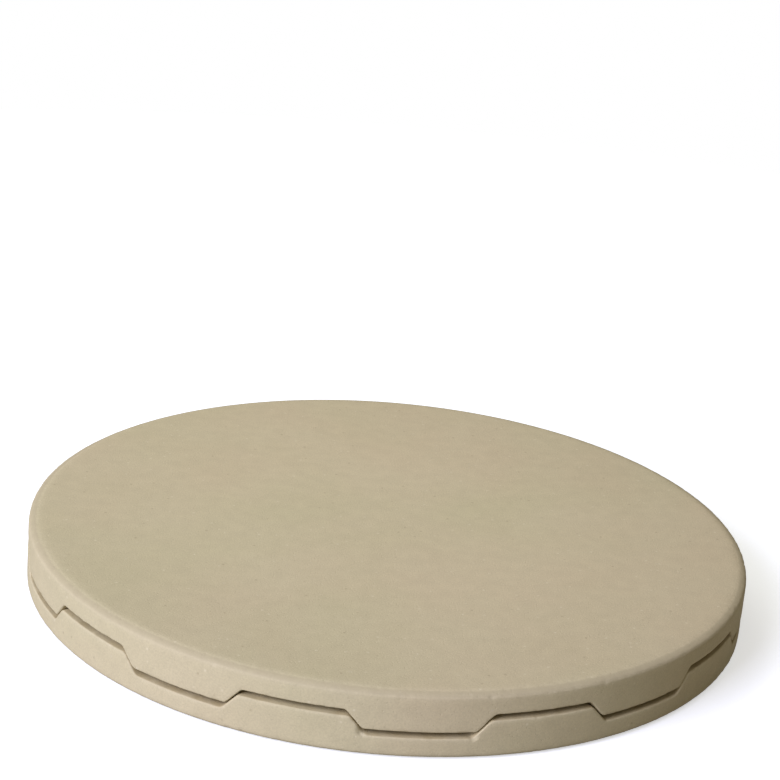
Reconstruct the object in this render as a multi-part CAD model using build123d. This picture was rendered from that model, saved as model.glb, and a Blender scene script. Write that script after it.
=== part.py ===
"""Two-layer pizza stone: two alike toothed slabs of fired cordierite, one turned over on the other.

Lengths are in millimetres and angles in degrees. +Z is up and the origin is the centre of the
underside. Both slabs come from one mould: a flat plate with a bevelled rim on one side and a ring
of sloping-sided teeth on the other. The upper slab's teeth stand in the lower slab's notches and
rest on their slopes, so the plates stay apart and close in a flat chamber of air.
"""
from build123d import *
from math import hypot, radians, tan
import os

# Plate
stone_diameter = 360
plate_thickness = 10.7
bevel_width = 4.0
bevel_height = 1.6

# Ring of teeth, with as many notches as teeth, each as wide as a tooth at seat height
tooth_count = 10
tooth_height = 8.4
ring_width = 25
flank_slope = 48
chamber_draft = 8

# Free height between a tooth's tip and the notch floor that it faces, with the slabs seated
tip_gap = 2.6

# Softened edges of the teeth, and the chamfer along the seam that shows on the wall
tooth_corner_chamfer = 3.0
tooth_tip_round = 1.8
tooth_foot_round = 1.5
seam_chamfer = 0.5

# How far a cutting shape runs past what it cuts
overrun = 3

stone_radius = stone_diameter / 2
slab_height = plate_thickness + tooth_height
pair_height = slab_height + tip_gap + plate_thickness
seat_height = pair_height / 2
half_pitch = 180 / tooth_count
ring_inner_radius = stone_radius - ring_width
chamber_foot_radius = ring_inner_radius - tooth_height * tan(radians(chamber_draft))


def make_blank():
    """The slab before its notches: plate, bevelled rim and a plain ring with a drafted inner wall."""
    profile = Polyline(
        (0, 0),
        (stone_radius - bevel_width, 0),
        (stone_radius, bevel_height),
        (stone_radius, slab_height),
        (ring_inner_radius, slab_height),
        (chamber_foot_radius, plate_thickness),
        (0, plate_thickness),
        close=True,
    )
    return revolve(Plane.XZ * make_face(profile), axis=Axis.Z)


def flank_plane(side):
    """Flat that one side of a notch along +X lies in. It holds the radial line that halves the step
    from notch to tooth at seat height, so it is also the flat of the other slab's tooth there."""
    step_line = Pos(0, 0, seat_height) * Rot(0, 0, side * half_pitch / 2)
    return Plane(step_line * Rot(side * flank_slope, 0, 0))


def make_notch_cutter():
    """One notch along +X, from inside the chamber to past the wall, wider at its mouth."""
    inner_end = chamber_foot_radius - overrun
    outer_end = stone_radius + overrun
    block = Box(
        outer_end - inner_end,
        2 * outer_end * tan(radians(half_pitch)),
        tooth_height + overrun,
        align=(Align.MIN, Align.CENTER, Align.MIN),
    )
    cutter = Pos(inner_end, 0, plate_thickness) * block
    for side in (-1, 1):
        cutter = split(cutter, bisect_by=flank_plane(side), keep=Keep.TOP)
    return cutter


def near(height, level):
    """Whether a height is at a level, well within the smallest softened edge."""
    return abs(height - level) < seam_chamfer / 2


def tooth_edges(slab, low_level, high_level):
    """Edges of the teeth behind the wall, by the heights of their two ends."""
    chosen = []
    for edge in slab.edges():
        middle = edge @ 0.5
        low_end, high_end = sorted(((edge @ 0).Z, (edge @ 1).Z))
        behind_wall = hypot(middle.X, middle.Y) < stone_radius - seam_chamfer / 2
        if behind_wall and near(low_end, low_level) and near(high_end, high_level):
            chosen.append(edge)
    return chosen


def seam_edges(slab):
    """Edges on the wall that follow the tips, flanks and notch floors all the way round."""
    chosen = []
    for edge in slab.edges():
        places = (edge @ 0, edge @ 0.5, edge @ 1)
        on_wall = min(hypot(place.X, place.Y) for place in places) > stone_radius - seam_chamfer / 2
        above_plate = min(place.Z for place in places) > plate_thickness - seam_chamfer / 2
        if on_wall and above_plate:
            chosen.append(edge)
    return chosen


def make_slab():
    """One slab, flat side down. The notches are cut and then the edges of the teeth are softened."""
    cutter = make_notch_cutter()
    notch_angles = [half_pitch * (2 * index + 1) for index in range(tooth_count)]
    slab = make_blank() - [Rot(0, 0, angle) * cutter for angle in notch_angles]
    slab = slab.chamfer(tooth_corner_chamfer, None, tooth_edges(slab, plate_thickness, slab_height))
    slab = slab.fillet(tooth_tip_round, tooth_edges(slab, slab_height, slab_height))
    slab = slab.fillet(tooth_foot_round, tooth_edges(slab, plate_thickness, plate_thickness))
    return slab.chamfer(seam_chamfer, None, seam_edges(slab))


lower_stone = make_slab()

# Turned over about a line through two teeth, then round by half a pitch, tooth over notch
turn_over = Pos(0, 0, pair_height) * Rot(0, 0, half_pitch) * Rot(180, 0, 0)
upper_stone = turn_over * lower_stone

os.makedirs("parts", exist_ok=True)
export_step(lower_stone, "parts/lower_stone.step")
export_step(upper_stone, "parts/upper_stone.step")
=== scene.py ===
from math import cos, pi, radians, sin, tan

import bpy
import numpy as np
from mathutils import Matrix, Vector


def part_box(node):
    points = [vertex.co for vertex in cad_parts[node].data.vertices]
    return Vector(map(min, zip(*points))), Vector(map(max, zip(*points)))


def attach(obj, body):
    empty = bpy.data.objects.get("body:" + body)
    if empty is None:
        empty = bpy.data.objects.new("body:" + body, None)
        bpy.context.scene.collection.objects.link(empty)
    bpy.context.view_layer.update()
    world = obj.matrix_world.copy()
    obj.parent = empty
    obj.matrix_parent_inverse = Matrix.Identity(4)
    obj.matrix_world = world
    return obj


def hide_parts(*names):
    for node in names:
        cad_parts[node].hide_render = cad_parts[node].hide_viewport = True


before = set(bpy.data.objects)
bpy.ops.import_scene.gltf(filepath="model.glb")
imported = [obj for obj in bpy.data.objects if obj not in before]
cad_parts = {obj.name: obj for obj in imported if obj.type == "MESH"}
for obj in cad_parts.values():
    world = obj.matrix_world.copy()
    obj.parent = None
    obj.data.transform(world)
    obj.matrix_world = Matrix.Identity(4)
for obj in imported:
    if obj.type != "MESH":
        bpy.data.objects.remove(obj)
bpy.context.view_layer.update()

# The two slabs, as the mould leaves them
# Both are pressed from cordierite clay in one mould and fired: a plate with a bevelled rim, and on
# its other side a ring of ten sloping-sided teeth round a flat chamber. The upper one lies loose on
# the lower one, tooth in notch.
stone_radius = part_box("lower_stone")[1].x
slab_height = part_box("lower_stone")[1].z
pair_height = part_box("upper_stone")[1].z
seat_height = pair_height / 2
plate_thickness = 0.0107
bevel_width = 0.0040
bevel_height = 0.0016
tooth_count = 10
tooth_height = slab_height - plate_thickness
pitch = radians(360 / tooth_count)
ring_width = 0.025
chamber_draft = radians(8)
ring_inner_radius = stone_radius - ring_width
chamber_foot_radius = ring_inner_radius - tooth_height * tan(chamber_draft)
flank_slope = radians(48)
corner_cut = 0.003
tip_round = 0.0030
foot_round = 0.0028
seam_chamfer = 0.0005
seam_round = 0.0003
rim_outer_round = 0.0016
rim_inner_round = 0.0060

# Each flank stands this far back from the flat in which the slabs would meet, as rough castings do
flank_play = 0.00020

# The mesh has this many columns round the slab. Its rows reach this far in over the flat face and
# the chamber's floor, and on the wall they follow the seam above this height.
column_count = 1440
face_border = 0.012
stretch_start = 0.005


def round_corner(before, corner, after, radius, steps):
    """Points of the arc that softens one corner of the section."""
    to_before = (Vector(before) - Vector(corner)).normalized()
    to_after = (Vector(after) - Vector(corner)).normalized()
    half_angle = to_before.angle(to_after) / 2
    centre = Vector(corner) + (to_before + to_after).normalized() * radius / sin(half_angle)
    start = Vector(corner) + to_before * radius / tan(half_angle)
    end = Vector(corner) + to_after * radius / tan(half_angle)
    points = []
    for step in range(steps + 1):
        spoke = (start - centre).slerp(end - centre, step / steps)
        points.append(centre + spoke.normalized() * radius)
    return points


# Corners of the section from the flat face's border round to the chamber floor: radius and height,
# how round each is, in how many steps, and the longest row on the run that leads to it
section_corners = [
    ((stone_radius - bevel_width - face_border, 0), 0, 0, 0),
    ((stone_radius - bevel_width, 0), rim_inner_round, 4, 0.0025),
    ((stone_radius, bevel_height), rim_outer_round, 6, 0.0010),
    ((stone_radius, slab_height - seam_chamfer), seam_round, 2, 0.0010),
    ((stone_radius - seam_chamfer, slab_height), seam_round, 2, 0.0005),
    ((ring_inner_radius, slab_height), tip_round, 4, 0.0022),
    ((chamber_foot_radius, plate_thickness), foot_round, 4, 0.0020),
    ((chamber_foot_radius - face_border, plate_thickness), 0, 0, 0.0040),
]
section_rows = [Vector(section_corners[0][0])]
for index in range(1, len(section_corners)):
    corner, rounding, steps, longest_row = section_corners[index]
    if rounding:
        before = section_corners[index - 1][0]
        after = section_corners[index + 1][0]
        arc = round_corner(before, corner, after, rounding, steps)
    else:
        arc = [Vector(corner)]
    start = section_rows[-1]
    run = arc[0] - start
    row_count = int(np.ceil(run.length / longest_row))
    for row in range(1, row_count):
        section_rows.append(start + run * row / row_count)
    section_rows.extend(arc)


def press_blank(name):
    """The slab before its notches, drawn out row by row from the border of its flat face."""
    bpy.ops.object.select_all(action="DESELECT")
    bpy.ops.mesh.primitive_circle_add(
        vertices=column_count, radius=section_rows[0].x, fill_type="NGON", location=(0, 0, 0)
    )
    slab = bpy.context.object
    slab.name = name
    bpy.ops.object.mode_set(mode="EDIT")
    bpy.ops.mesh.select_all(action="SELECT")
    for row, next_row in zip(section_rows, section_rows[1:]):
        rise = (0, 0, next_row.y - row.y)
        growth = next_row.x / row.x
        bpy.ops.mesh.extrude_edges_move(TRANSFORM_OT_translate={"value": rise})
        bpy.ops.transform.resize(value=(growth, growth, 1), center_override=(0, 0, 0))
    bpy.ops.mesh.edge_face_add()
    bpy.ops.mesh.select_all(action="SELECT")
    bpy.ops.mesh.normals_make_consistent(inside=False)
    bpy.ops.object.mode_set(mode="OBJECT")
    return slab


def get_places(slab):
    """The slab's points, one row of x, y and z for each."""
    flat = np.empty(len(slab.data.vertices) * 3, np.float32)
    slab.data.vertices.foreach_get("co", flat)
    return flat.reshape(-1, 3).astype(float)


def set_places(slab, places):
    """Moves the slab's points."""
    slab.data.vertices.foreach_set("co", places.astype(np.float32).ravel())
    slab.data.update()


def polar(places):
    """How far each point is from the slab's axis, and its angle round it."""
    return np.hypot(places[:, 0], places[:, 1]), np.arctan2(places[:, 1], places[:, 0])


def soft_step(distance):
    """Height of the toothed side at a distance inside a tooth's side, with round tip and foot."""
    bend = tan(flank_slope) * tan(flank_slope / 2)
    slope = seat_height + distance * tan(flank_slope)
    tip_blend = np.clip(bend * tip_round - abs(slope - slab_height), 0, None)
    height = np.minimum(slope, slab_height) - tip_blend**2 / (4 * bend * tip_round)
    foot_blend = np.clip(bend * foot_round - abs(height - plate_thickness), 0, None)
    return np.maximum(height, plate_thickness) + foot_blend**2 / (4 * bend * foot_round)


def toothed_height(angle, radius):
    """Height of the toothed side at an angle round the slab. One tooth lies along +X."""
    from_tooth = abs((angle + pitch / 2) % pitch - pitch / 2)
    inside = radius * np.sin(pitch / 4 - from_tooth) - flank_play
    inside = inside - np.clip(corner_cut - (radius - ring_inner_radius), 0, corner_cut)
    return soft_step(inside)


def press_teeth(slab):
    """Sinks the notches into the plain ring, and leads the wall and the seam's chamfer up to them."""
    places = get_places(slab)
    radius, angle = polar(places)
    drawn = places[:, 2].copy()
    height = toothed_height(angle, radius)
    wall_edge = stone_radius - seam_chamfer - seam_round
    wall_top = slab_height - seam_chamfer - seam_round

    # Behind the wall all that stands above the plate is lowered by the same share
    share = (height - plate_thickness) / tooth_height
    behind = (radius < wall_edge) & (drawn > plate_thickness)
    lowered = plate_thickness + (drawn - plate_thickness) * share
    places[:, 2] = np.where(behind, lowered, drawn)

    # On the wall the chamfer keeps its width square to the seam, and the rows below it stretch
    nudge = radians(0.05)
    climb = toothed_height(angle + nudge, radius) - toothed_height(angle - nudge, radius)
    lean = np.hypot(1, climb / (2 * nudge * stone_radius))
    seam = height - (slab_height - wall_top) * lean
    stretched = (drawn - stretch_start) * (seam - stretch_start) / (wall_top - stretch_start)
    stretched = stretch_start + stretched
    chamfered = height - (slab_height - drawn) * lean
    on_wall = radius >= wall_edge
    places[:, 2] = np.where(on_wall & (drawn > stretch_start), stretched, places[:, 2])
    places[:, 2] = np.where(on_wall & (drawn > wall_top), chamfered, places[:, 2])
    set_places(slab, places)


lower_slab = press_blank("lower_fired_slab")
press_teeth(lower_slab)

# The upper slab is the same casting, turned over and set round by half a pitch, tooth over notch
upper_slab = lower_slab.copy()
upper_slab.data = lower_slab.data.copy()
upper_slab.name = "upper_fired_slab"
bpy.context.collection.objects.link(upper_slab)
turn_over = Matrix.Rotation(pitch / 2, 4, "Z") @ Matrix.Rotation(pi, 4, "X")
upper_slab.data.transform(Matrix.Translation((0, 0, pair_height)) @ turn_over)


# Wear
# Handling and firing leave the wall a little uneven, rub the edges down and knock small chips out
# of them. All of it takes material away, so the slabs stay within their moulded size.
wall_waver = 0.00012
wall_waver_size = 0.014
wall_waver_fade = 0.002
edge_loss = 0.00035
edge_loss_size = 0.0035
edge_reach = 0.0014

# Small chips are scattered, and their depth is a share of their size. A chip goes in square to the
# wall, and up or down by a share of its depth.
small_chip_count = 70
small_chip_sizes = (0.0008, 0.0022)
small_chip_depth_shares = (0.05, 0.13)
chip_lean_share = 0.8

# How far the clay goes toward its rubbed colour at the rim's edges, at the seam's and in a chip
rim_pallor = 0.10
seam_pallor = 0.25
chip_pallor = 0.6

# Two larger chips at the corners of the lower slab's front notch: angle round it, size and depth
front_notch_chips = [
    (radians(-98.0), 0.0030, 0.0013),
    (radians(-82.4), 0.0024, 0.0006),
]

# The bevel's painted shade comes in and goes out at these shares of its width, and the seam's
# painted shade at these depths behind the wall
bevel_shade_shares = (-0.075, 0.175, 0.75, 1.0)
seam_shade_depths = (0.0002, 0.0007, 0.0030, 0.0130)
in_and_out = (0, 1, 1, 0)


def edge_nearness(places, face_height, seam_height):
    """From 0 to 1, how near each point is to any of the edges on show, and to the rim's two."""
    radius = polar(places)[0]
    from_face = abs(places[:, 2] - face_height)
    to_outer_rim = np.hypot(radius - stone_radius, from_face - bevel_height)
    to_inner_rim = np.hypot(radius - stone_radius + bevel_width, from_face)
    to_seam = np.hypot(radius - stone_radius, places[:, 2] - seam_height)
    near_rim = np.exp(-(np.minimum(to_outer_rim, to_inner_rim) / edge_reach) ** 2)
    near_seam = np.exp(-(to_seam / edge_reach) ** 2)
    return np.maximum(near_rim, near_seam), near_rim


def roughen(slab, name, weight, size, loss):
    """Takes a cloudy, uneven layer off the weighted points."""
    group = slab.vertex_groups.new(name=name)
    for tenth in range(1, 11):
        chosen = np.flatnonzero(np.round(weight * 10) == tenth)
        group.add(chosen.tolist(), tenth / 10, "REPLACE")
    clouds = bpy.data.textures.new(name, "CLOUDS")
    clouds.noise_scale = size
    clouds.noise_depth = 3
    bpy.ops.object.select_all(action="DESELECT")
    slab.select_set(True)
    bpy.context.view_layer.objects.active = slab
    bpy.ops.object.modifier_add(type="DISPLACE")
    layer = slab.modifiers[-1]
    layer.texture = clouds
    layer.texture_coords = "LOCAL"
    layer.vertex_group = name
    layer.mid_level = 1
    layer.strength = loss
    bpy.ops.object.modifier_apply(modifier=layer.name)


def list_chips(seed, placed_chips):
    """Angle, size and depth of every chip of one slab, and whether it is on the seam or the rim."""
    dice = np.random.default_rng(seed)
    chips = []
    for count in range(small_chip_count):
        turn = dice.uniform(-pi, pi)
        size = dice.uniform(*small_chip_sizes)
        depth = size * dice.uniform(*small_chip_depth_shares)
        chips.append((turn, size, depth, count % 2 == 1))
    for turn, size, depth in placed_chips:
        chips.append((turn, size, depth, True))
    return chips


def chip(places, centre, size, depth, rise, worn):
    """Knocks one hollow into an edge, deepest at its centre, and bares paler clay in it."""
    away = np.linalg.norm(places - centre, axis=1) / size
    hollow = np.clip(1 - away**2, 0, None) ** 1.5
    outward = centre * (1, 1, 0)
    outward = outward / np.linalg.norm(outward)
    places += hollow[:, None] * depth * ((0, 0, rise) - outward)
    np.maximum(worn, chip_pallor * hollow, out=worn)


def wear_down_and_paint_shade(slab, face_height, seam_of, seed, placed_chips):
    """All the wear of one slab, where it is, and where painted shade goes on the bevel and in the
    seam, as attributes for the clay.
    """
    places = get_places(slab)
    radius, angle = polar(places)
    behind_wall = stone_radius - radius
    nearness, near_rim = edge_nearness(places, face_height, seam_of(angle))
    on_wall = np.clip(1 - behind_wall / wall_waver_fade, 0, 1)
    roughen(slab, slab.name + "_wall", on_wall, wall_waver_size, wall_waver)
    roughen(slab, slab.name + "_edges", nearness, edge_loss_size, edge_loss)

    # A chip on the rim goes in away from the flat face, and one on the seam goes in toward it
    places = get_places(slab)
    worn = nearness * seam_pallor - near_rim * (seam_pallor - rim_pallor)
    rim_height = abs(face_height - bevel_height)
    from_face = 1 if face_height == 0 else -1
    for turn, size, depth, on_seam in list_chips(seed, placed_chips):
        height = seam_of(turn) if on_seam else rim_height
        rise = chip_lean_share * (-from_face if on_seam else from_face)
        centre = np.array((stone_radius * cos(turn), stone_radius * sin(turn), height))
        chip(places, centre, size, depth, rise, worn)
    set_places(slab, places)

    # The bevel is painted a little darker than the faces, as painted shade on its slope.
    # The outer part of the toothed side is painted browner, as painted shade in the seam between the
    # slabs.
    above_face = abs(places[:, 2] - face_height)
    on_bevel = above_face < 2 * bevel_height
    painted_bevel_shade = np.interp(behind_wall / bevel_width, bevel_shade_shares, in_and_out) * on_bevel
    on_toothed_side = above_face > plate_thickness - seam_chamfer
    painted_seam_shade = np.interp(behind_wall, seam_shade_depths, in_and_out) * on_toothed_side
    for name, values in (("worn", worn), ("painted_bevel_shade", painted_bevel_shade), ("painted_seam_shade", painted_seam_shade)):
        layer = slab.data.attributes.new(name, "FLOAT", "POINT")
        layer.data.foreach_set("value", values.astype(np.float32))


def lower_seam(angle):
    """Height of the edge that the lower slab shows on the wall."""
    return toothed_height(angle, stone_radius)


def upper_seam(angle):
    """Height of the edge that the upper slab shows on the wall."""
    return pair_height - toothed_height(pitch / 2 - angle, stone_radius)


wear_down_and_paint_shade(lower_slab, face_height=0, seam_of=lower_seam, seed=3, placed_chips=front_notch_chips)
wear_down_and_paint_shade(upper_slab, face_height=pair_height, seam_of=upper_seam, seed=8, placed_chips=[])


# Fired clay
# Unglazed cordierite is matt and sandy: pale buff in large soft clouds that lean to pink or to
# green, with fine grain, a few specks and pinholes, and paler where it is rubbed. Painted shade
# makes it a shade darker toward the rim, and darker on the bevel and inside the seam.
greenish_buff = (0.560, 0.505, 0.350, 1)
pinkish_buff = (0.586, 0.501, 0.362, 1)
pale_buff = (0.595, 0.528, 0.385, 1)
dark_speck = (0.27, 0.21, 0.13, 1)
light_speck = (0.74, 0.68, 0.55, 1)
rubbed_buff = (0.68, 0.61, 0.48, 1)
# Painted shade for the bevel
bevel_shade_colour = (0.46, 0.402, 0.292, 1)
# Painted shade for the inside of the seam
seam_shade_colour = (0.78, 0.72, 0.60, 1)


def new_node(tree, kind, **values):
    """A node with some of its properties or input values set."""
    node = tree.nodes.new(kind)
    for name, value in values.items():
        if name in node.inputs:
            node.inputs[name].default_value = value
        else:
            setattr(node, name, value)
    return node


def noise(tree, place, scale, detail, roughness=0.5):
    """Noise on the object's own coordinates, as a value from 0 to 1."""
    node = new_node(tree, "ShaderNodeTexNoise", Scale=scale, Detail=detail, Roughness=roughness)
    tree.links.new(place, node.inputs["Vector"])
    return node.outputs["Fac"]


def cells(tree, place, scale):
    """Scattered spots on the object's own coordinates: distance from each, and its random colour."""
    node = new_node(tree, "ShaderNodeTexVoronoi", Scale=scale)
    tree.links.new(place, node.inputs["Vector"])
    return node.outputs["Distance"], node.outputs["Color"]


def spread(tree, value, low, high, new_low=0.0, new_high=1.0):
    """Maps one range of a value to another, and holds it at the ends beyond them."""
    node = new_node(tree, "ShaderNodeMapRange", clamp=True)
    tree.links.new(value, node.inputs["Value"])
    node.inputs["From Min"].default_value = low
    node.inputs["From Max"].default_value = high
    node.inputs["To Min"].default_value = new_low
    node.inputs["To Max"].default_value = new_high
    return node.outputs["Result"]


def calculate(tree, operation, first, second):
    """What one step of arithmetic makes of two values."""
    node = new_node(tree, "ShaderNodeMath", operation=operation)
    tree.links.new(first, node.inputs[0])
    tree.links.new(second, node.inputs[1])
    return node.outputs[0]


def blend(tree, share, below, above, way="MIX"):
    """Mixes two colours by a share. Each is a value or the output of a node."""
    node = new_node(tree, "ShaderNodeMix", data_type="RGBA", blend_type=way)
    for name, value in (("Factor", share), ("A", below), ("B", above)):
        if isinstance(value, (tuple, float)):
            node.inputs[name].default_value = value
        else:
            tree.links.new(value, node.inputs[name])
    return node.outputs["Result"]


clay = bpy.data.materials.new("fired_cordierite")
clay.use_nodes = True
tree = clay.node_tree
shader = tree.nodes["Principled BSDF"]
place = tree.nodes.new("ShaderNodeTexCoord").outputs["Object"]

# Soft clouds, painted shade that darkens it toward the rim, and the grain
clouds = spread(tree, noise(tree, place, 9, 2), 0.35, 0.65)
colour = blend(tree, clouds, greenish_buff, pinkish_buff)
drift = spread(tree, noise(tree, place, 23, 3), 0.3, 0.7, 0, 0.5)
colour = blend(tree, drift, colour, pale_buff)
# Painted shade: the clay is darkened toward the rim
from_middle = new_node(tree, "ShaderNodeVectorMath", operation="LENGTH")
tree.links.new(place, from_middle.inputs[0])
painted_rim_shade = spread(tree, from_middle.outputs["Value"], stone_radius / 2, stone_radius, 1.0, 0.95)
colour = blend(tree, 1.0, colour, painted_rim_shade, "MULTIPLY")
mottle = spread(tree, noise(tree, place, 130, 4), 0.3, 0.7, 0.97, 1.03)
grain = spread(tree, noise(tree, place, 1200, 3), 0.3, 0.7, 0.93, 1.06)
colour = blend(tree, 1.0, colour, calculate(tree, "MULTIPLY", mottle, grain), "MULTIPLY")

# A few specks, dark and light
speck_distance, speck_dice = cells(tree, place, 260)
near_speck = spread(tree, speck_distance, 0.10, 0.22, 1, 0)
pick = tree.nodes.new("ShaderNodeSeparateColor")
tree.links.new(speck_dice, pick.inputs["Color"])
dark_pick = spread(tree, pick.outputs["Red"], 0.90, 0.94, 0, 0.35)
light_pick = spread(tree, pick.outputs["Green"], 0.80, 0.86, 0, 0.40)
for chosen, speck_colour in ((dark_pick, dark_speck), (light_pick, light_speck)):
    share = calculate(tree, "MULTIPLY", near_speck, chosen)
    colour = blend(tree, share, colour, speck_colour)

# Paler where it is rubbed, and painted shade on the bevel and inside the seam, all unevenly
rubbing = spread(tree, noise(tree, place, 300, 3), 0.35, 0.65, 0.2, 1.0)
bevel_shade_unevenness = spread(tree, noise(tree, place, 220, 4), 0.3, 0.7, 0.5, 0.8)
seam_shade_unevenness = spread(tree, noise(tree, place, 90, 3), 0.35, 0.65, 0.5, 1.0)
for name, unevenness, layer_colour, way in (
    ("worn", rubbing, rubbed_buff, "MIX"),
    ("painted_bevel_shade", bevel_shade_unevenness, bevel_shade_colour, "MIX"),
    ("painted_seam_shade", seam_shade_unevenness, seam_shade_colour, "MULTIPLY"),
):
    where = new_node(tree, "ShaderNodeAttribute", attribute_name=name)
    share = calculate(tree, "MULTIPLY", where.outputs["Fac"], unevenness)
    colour = blend(tree, share, colour, layer_colour, way)
tree.links.new(colour, shader.inputs["Base Color"])

# Matt, with pinholes and sand in its surface
roughness = spread(tree, noise(tree, place, 60, 3), 0.3, 0.7, 0.86, 0.96)
tree.links.new(roughness, shader.inputs["Roughness"])
shader.inputs["Specular IOR Level"].default_value = 0.25
pinholes = spread(tree, cells(tree, place, 520)[0], 0.05, 0.25)
sand = noise(tree, place, 1500, 4, 0.65)
bump = new_node(tree, "ShaderNodeBump", Strength=0.7, Distance=0.00012)
tree.links.new(calculate(tree, "ADD", pinholes, sand), bump.inputs["Height"])
tree.links.new(bump.outputs["Normal"], shader.inputs["Normal"])

for slab, body, node in (
    (lower_slab, "lower_slab", "lower_stone"),
    (upper_slab, "upper_slab", "upper_stone"),
):
    slab.data.materials.append(clay)
    slab.data.shade_smooth()
    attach(slab, body)
    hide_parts(node)

# Floor
# A plain white sheet. It looks white to the camera and keeps the stone's shadow, and it is seen a
# little bluer than it is, which evens out the warm light in the shadow.
floor_radius = 1.0
colour_cast_on_stone = (0.38, 0.36, 0.28, 1)
colour_seen = (0.77, 0.81, 0.97, 1)
glow_seen = 0.56
bpy.ops.object.select_all(action="DESELECT")
bpy.ops.mesh.primitive_circle_add(
    vertices=64, radius=floor_radius, fill_type="NGON", location=(0, 0, 0)
)
floor = bpy.context.object
floor.name = "floor"
paper = bpy.data.materials.new("white_paper")
paper.use_nodes = True
tree = paper.node_tree
tree.nodes.clear()
sight = tree.nodes.new("ShaderNodeLightPath").outputs
seen = calculate(tree, "MAXIMUM", sight["Is Camera Ray"], sight["Is Glossy Ray"])
seen = calculate(tree, "MAXIMUM", seen, sight["Is Transmission Ray"])
matt = tree.nodes.new("ShaderNodeBsdfDiffuse")
tree.links.new(blend(tree, seen, colour_cast_on_stone, colour_seen), matt.inputs["Color"])
glow = tree.nodes.new("ShaderNodeEmission")
tree.links.new(spread(tree, seen, 0, 1, 0, glow_seen), glow.inputs["Strength"])
both = tree.nodes.new("ShaderNodeAddShader")
tree.links.new(matt.outputs[0], both.inputs[0])
tree.links.new(glow.outputs[0], both.inputs[1])
output = tree.nodes.new("ShaderNodeOutputMaterial")
tree.links.new(both.outputs[0], output.inputs["Surface"])
floor.data.materials.append(paper)

# Light
# One large soft lamp low on the camera's left, a dim warm one high behind the stone on its left,
# and a little warm light from all round.
camera_azimuth = radians(-6.5)
room_light = (0.242, 0.220, 0.158, 1)
room_white = (1.0, 1.0, 1.0, 1)


def toward(azimuth, elevation):
    """Direction in which a lamp or the camera stands. Azimuth 0 is the front, and right is more."""
    return Vector((
        sin(azimuth) * cos(elevation),
        -cos(azimuth) * cos(elevation),
        sin(elevation),
    ))


def lamp(name, azimuth, elevation, distance, size, level, colour):
    """A square soft lamp. At a level of 1 a surface that faces it shows its colour as written."""
    data = bpy.data.lights.new(name, "AREA")
    data.shape = "SQUARE"
    data.size = size
    data.energy = level * (pi * distance) ** 2
    data.color = colour
    back = toward(azimuth, elevation)
    stand = bpy.data.objects.new(name, data)
    stand.location = back * distance
    stand.rotation_mode = "QUATERNION"
    stand.rotation_quaternion = (-back).to_track_quat("-Z", "Y")
    bpy.context.scene.collection.objects.link(stand)


lamp(
    "key",
    azimuth=camera_azimuth + radians(-44),
    elevation=radians(28.5),
    distance=3.2,
    size=1.8,
    level=1.08,
    colour=(1.0, 0.995, 1.13),
)
lamp(
    "behind",
    azimuth=camera_azimuth + radians(-152),
    elevation=radians(50),
    distance=1.2,
    size=0.8,
    level=0.28,
    colour=(0.95, 0.95, 0.76),
)
world = bpy.data.worlds.new("room")
bpy.context.scene.world = world
world.use_nodes = True
tree = world.node_tree
sight = tree.nodes.new("ShaderNodeLightPath").outputs
sky = blend(tree, sight["Is Camera Ray"], room_light, room_white)
tree.links.new(sky, tree.nodes["Background"].inputs["Color"])

# Camera
# It stands as the photograph's did: from the front and above, turned a little about its own axis,
# and aimed above the stone, which lies in the lower half of the picture.
camera_elevation = radians(20.078)
camera_roll = radians(5.107)
camera_distance = 1.1359
aim_right = 0.0029
aim_up = 0.0980
sensor_width = 36
focal_length = 102.82
back = toward(camera_azimuth, camera_elevation)
level_right = Vector((cos(camera_azimuth), sin(camera_azimuth), 0))
level_up = back.cross(level_right)
right = level_right * cos(camera_roll) + level_up * sin(camera_roll)
up = level_up * cos(camera_roll) - level_right * sin(camera_roll)
camera_data = bpy.data.cameras.new("camera")
camera_data.sensor_width = sensor_width
camera_data.lens = focal_length
camera = bpy.data.objects.new("camera", camera_data)
camera.rotation_mode = "QUATERNION"
camera.rotation_quaternion = Matrix((right, up, back)).transposed().to_quaternion()
camera.location = back * camera_distance + right * aim_right + up * aim_up
bpy.context.scene.collection.objects.link(camera)
bpy.context.scene.camera = camera
bpy.context.scene.view_settings.view_transform = "Standard"
